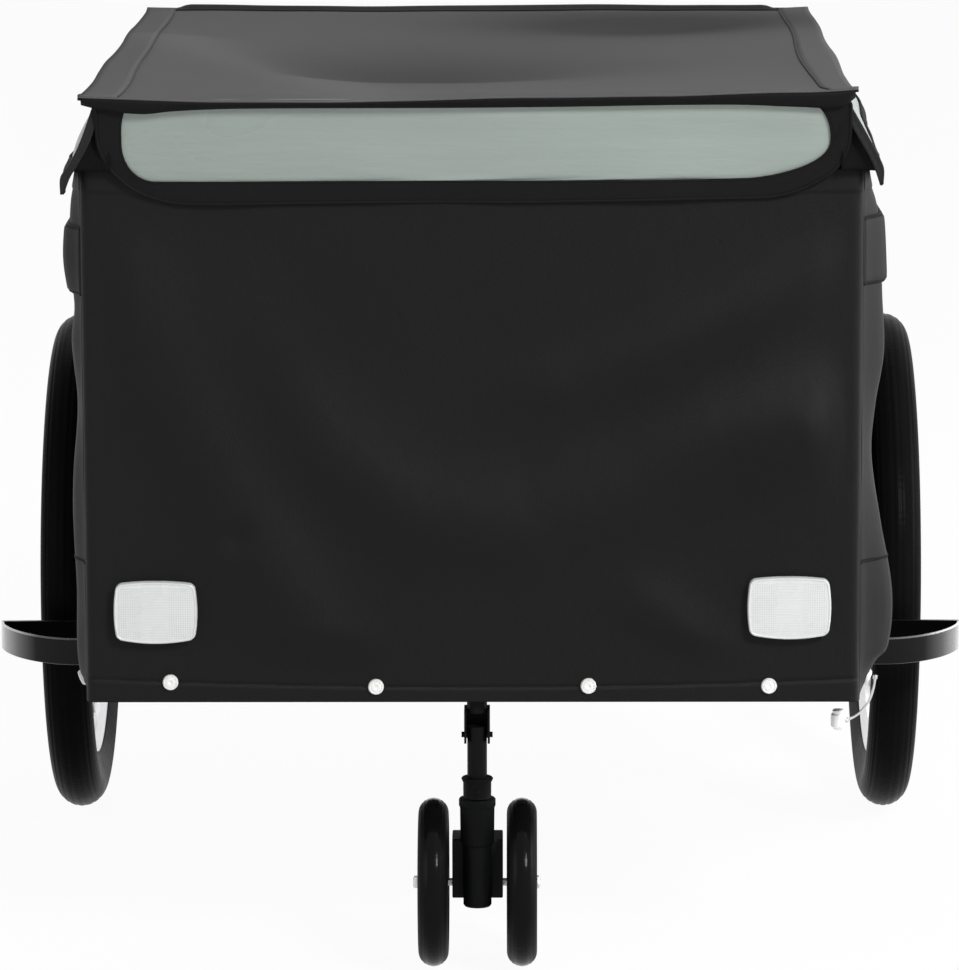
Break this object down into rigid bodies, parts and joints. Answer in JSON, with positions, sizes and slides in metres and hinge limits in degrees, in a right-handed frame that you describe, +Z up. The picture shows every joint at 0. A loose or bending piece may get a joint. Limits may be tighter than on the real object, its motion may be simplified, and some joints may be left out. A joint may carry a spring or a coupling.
{
  "type": "bicycle cargo trailer",
  "caption": "Cloth cargo tub on a low tube frame with spoked side wheels, strip wheel guards, a lift-up cover with clear skirts and a folding twin-wheel front caster.",
  "frame": {"origin": "on the ground, under the middle of the trailer's outline", "axes": "+Z up, +Y towards the rear, the caster end faces -Y, +X to the trailer's left"},
  "size_m": [0.756, 0.802, 0.6478],
  "materials": {
    "black_cloth": "matte woven",
    "cover_cloth": "matte coated weave",
    "clear_pane": "clear soft sheet",
    "black_paint": "satin powder coat",
    "black_plastic": "moulded",
    "tyre_rubber": "smooth tread",
    "silver_steel": "plated",
    "white_plastic": "moulded",
    "red_plastic": "moulded lens"
  },
  "bodies": {
    "trailer": {"base_frame": "black_paint", "front_hoop": "black_paint", "rear_hoop": "black_paint", "left_top_rail": "black_paint", "right_top_rail": "black_paint", "front_cover_bow": "black_paint", "rear_cover_bow": "black_paint", "axle": "silver_steel", "left_axle_nut": "silver_steel", "right_axle_nut": "silver_steel", "left_wheel_guard": "black_plastic", "right_wheel_guard": "black_plastic", "tow_bar_receiver": "black_paint", "floor_panel": "black_plastic", "front_wall": "black_cloth", "rear_wall": "black_cloth", "left_wall": "black_cloth", "right_wall": "black_cloth", "left_side_band": "black_cloth", "right_side_band": "black_cloth", "rear_skirt": "black_cloth", "rear_window": "clear_pane", "front_snap_1": "white_plastic", "front_snap_2": "white_plastic", "front_snap_3": "white_plastic", "front_snap_4": "white_plastic", "left_side_snap": "white_plastic", "right_side_snap": "white_plastic", "front_left_reflector": "white_plastic", "front_right_reflector": "white_plastic", "rear_left_reflector": "red_plastic", "rear_right_reflector": "red_plastic", "fold_knuckle": "black_paint", "knuckle_pin": "silver_steel", "lanyard_wire": "silver_steel", "hitch_pin": "silver_steel"},
    "cover": {"cover_top": "cover_cloth", "front_skirt": "black_cloth", "front_window": "clear_pane", "left_skirt": "black_cloth", "right_skirt": "black_cloth", "left_window": "clear_pane", "right_window": "clear_pane"},
    "left_wheel": {"left_tyre": "tyre_rubber", "left_rim": "silver_steel", "left_hub": "silver_steel"},
    "right_wheel": {"right_tyre": "tyre_rubber", "right_rim": "silver_steel", "right_hub": "silver_steel"},
    "caster_leg": {"caster_post": "black_paint", "caster_collar": "black_plastic"},
    "caster_release": {"caster_button": "black_plastic"},
    "caster_fork": {"swivel_housing": "black_plastic", "axle_block": "black_plastic", "caster_axle": "silver_steel"},
    "left_caster_wheel": {"left_caster_tyre": "tyre_rubber", "left_caster_hub": "black_plastic"},
    "right_caster_wheel": {"right_caster_tyre": "tyre_rubber", "right_caster_hub": "black_plastic"}
  },
  "joints": [
    {"name": "left_wheel_spin", "type": "hinge", "parent": "trailer", "child": "left_wheel", "pos_m": [0.33, 0.198, 0.203], "axis": [1, 0, 0], "continuous": true},
    {"name": "right_wheel_spin", "type": "hinge", "parent": "trailer", "child": "right_wheel", "pos_m": [-0.33, 0.198, 0.203], "axis": [1, 0, 0], "continuous": true},
    {"name": "caster_fold", "type": "hinge", "parent": "trailer", "child": "caster_leg", "pos_m": [0, -0.3633, 0.1798], "axis": [-1, 0, 0], "range_deg": [0, 90]},
    {"name": "caster_release_press", "type": "slide", "parent": "caster_leg", "child": "caster_release", "axis": [0, 1, 0], "range_m": [0, 0.002], "stiffness_N_per_m": 500, "springref_m": -0.001},
    {"name": "caster_swivel", "type": "hinge", "parent": "caster_leg", "child": "caster_fork", "pos_m": [0, -0.3633, 0.099], "axis": [0, 0, 1], "continuous": true},
    {"name": "left_caster_wheel_spin", "type": "hinge", "parent": "caster_fork", "child": "left_caster_wheel", "pos_m": [0.0325, -0.3333, 0.062], "axis": [1, 0, 0], "continuous": true},
    {"name": "right_caster_wheel_spin", "type": "hinge", "parent": "caster_fork", "child": "right_caster_wheel", "pos_m": [-0.0325, -0.3333, 0.062], "axis": [1, 0, 0], "continuous": true},
    {"name": "cover_opening", "type": "hinge", "parent": "trailer", "child": "cover", "pos_m": [0, 0.3165, 0.6468], "axis": [-1, 0, 0], "range_deg": [0, 110]}
  ]
}
